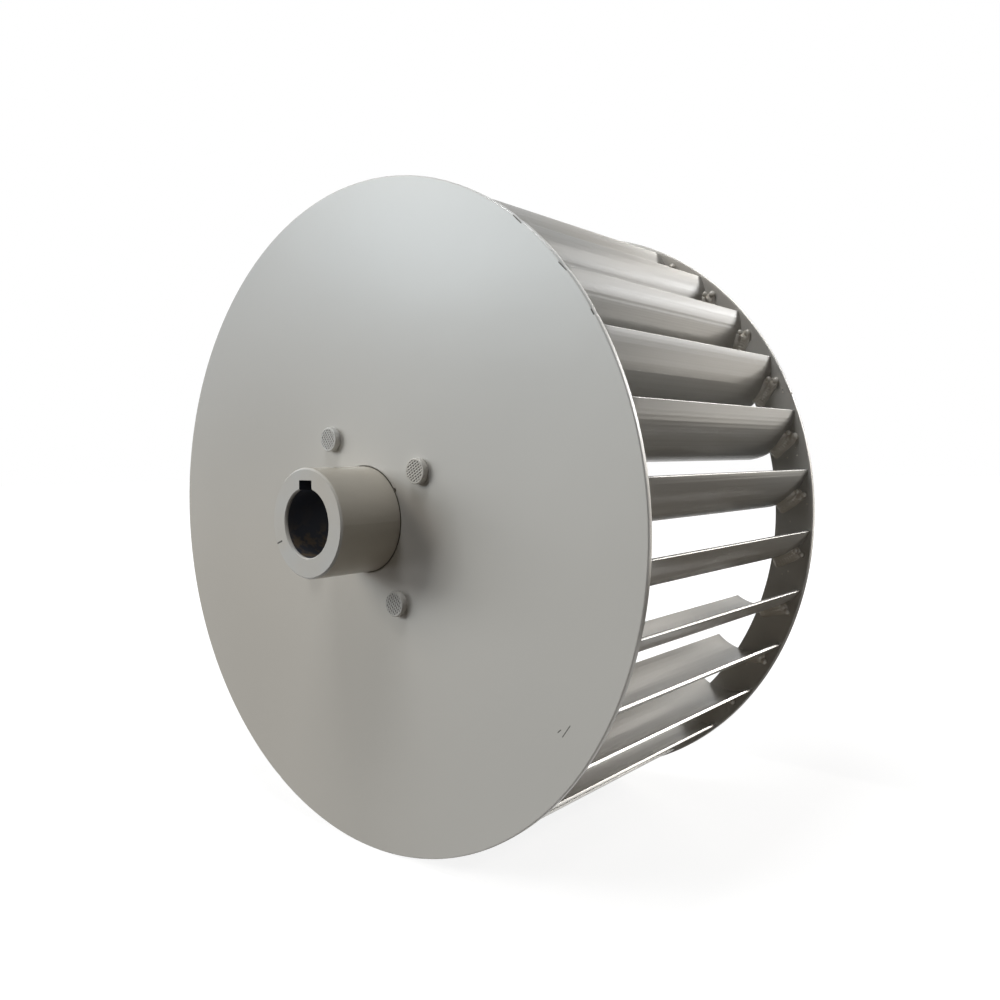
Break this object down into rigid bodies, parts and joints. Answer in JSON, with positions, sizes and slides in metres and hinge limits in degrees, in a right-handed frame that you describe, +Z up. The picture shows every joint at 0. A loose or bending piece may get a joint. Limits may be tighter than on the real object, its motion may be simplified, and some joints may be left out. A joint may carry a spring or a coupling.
{
  "type": "centrifugal fan impeller",
  "caption": "Forward-curved centrifugal fan impeller: a flat backplate with a riveted, keyed hub, a cage of welded curved blades and an open inlet ring.",
  "frame": {"origin": "on the axis of the shaft's bore, in the plane of the backplate's front face", "axes": "the shaft lies along Y, the hub stands out towards -Y and the blade cage reaches towards +Y; +Z is up, with the keyway at the top"},
  "size_m": [0.285, 0.1705, 0.285],
  "materials": {
    "painted_sheet": "satin silver-grey coating on sheet steel",
    "painted_hub": "satin silver-grey coating on turned steel",
    "painted_rivet": "satin silver-grey coating over a hatched flat head",
    "painted_weld": "coating over a rippled fillet weld",
    "screw_steel": "dark oiled steel"
  },
  "bodies": {
    "root": {"backplate": "painted_sheet", "inlet_ring": "painted_sheet", "blade_01": "painted_sheet", "blade_02": "painted_sheet", "blade_03": "painted_sheet", "blade_04": "painted_sheet", "blade_05": "painted_sheet", "blade_06": "painted_sheet", "blade_07": "painted_sheet", "blade_08": "painted_sheet", "blade_09": "painted_sheet", "blade_10": "painted_sheet", "blade_11": "painted_sheet", "blade_12": "painted_sheet", "blade_13": "painted_sheet", "blade_14": "painted_sheet", "blade_15": "painted_sheet", "blade_16": "painted_sheet", "blade_17": "painted_sheet", "blade_18": "painted_sheet", "blade_19": "painted_sheet", "blade_20": "painted_sheet", "blade_21": "painted_sheet", "blade_22": "painted_sheet", "blade_23": "painted_sheet", "blade_24": "painted_sheet", "blade_25": "painted_sheet", "blade_26": "painted_sheet", "blade_27": "painted_sheet", "blade_28": "painted_sheet", "blade_29": "painted_sheet", "blade_30": "painted_sheet", "blade_31": "painted_sheet", "blade_32": "painted_sheet", "ring_welds": "painted_weld", "plate_welds": "painted_weld", "hub": "painted_hub", "rivet_1": "painted_rivet", "rivet_2": "painted_rivet", "rivet_3": "painted_rivet", "rivet_4": "painted_rivet", "set_screw": "screw_steel"}
  },
  "joints": []
}
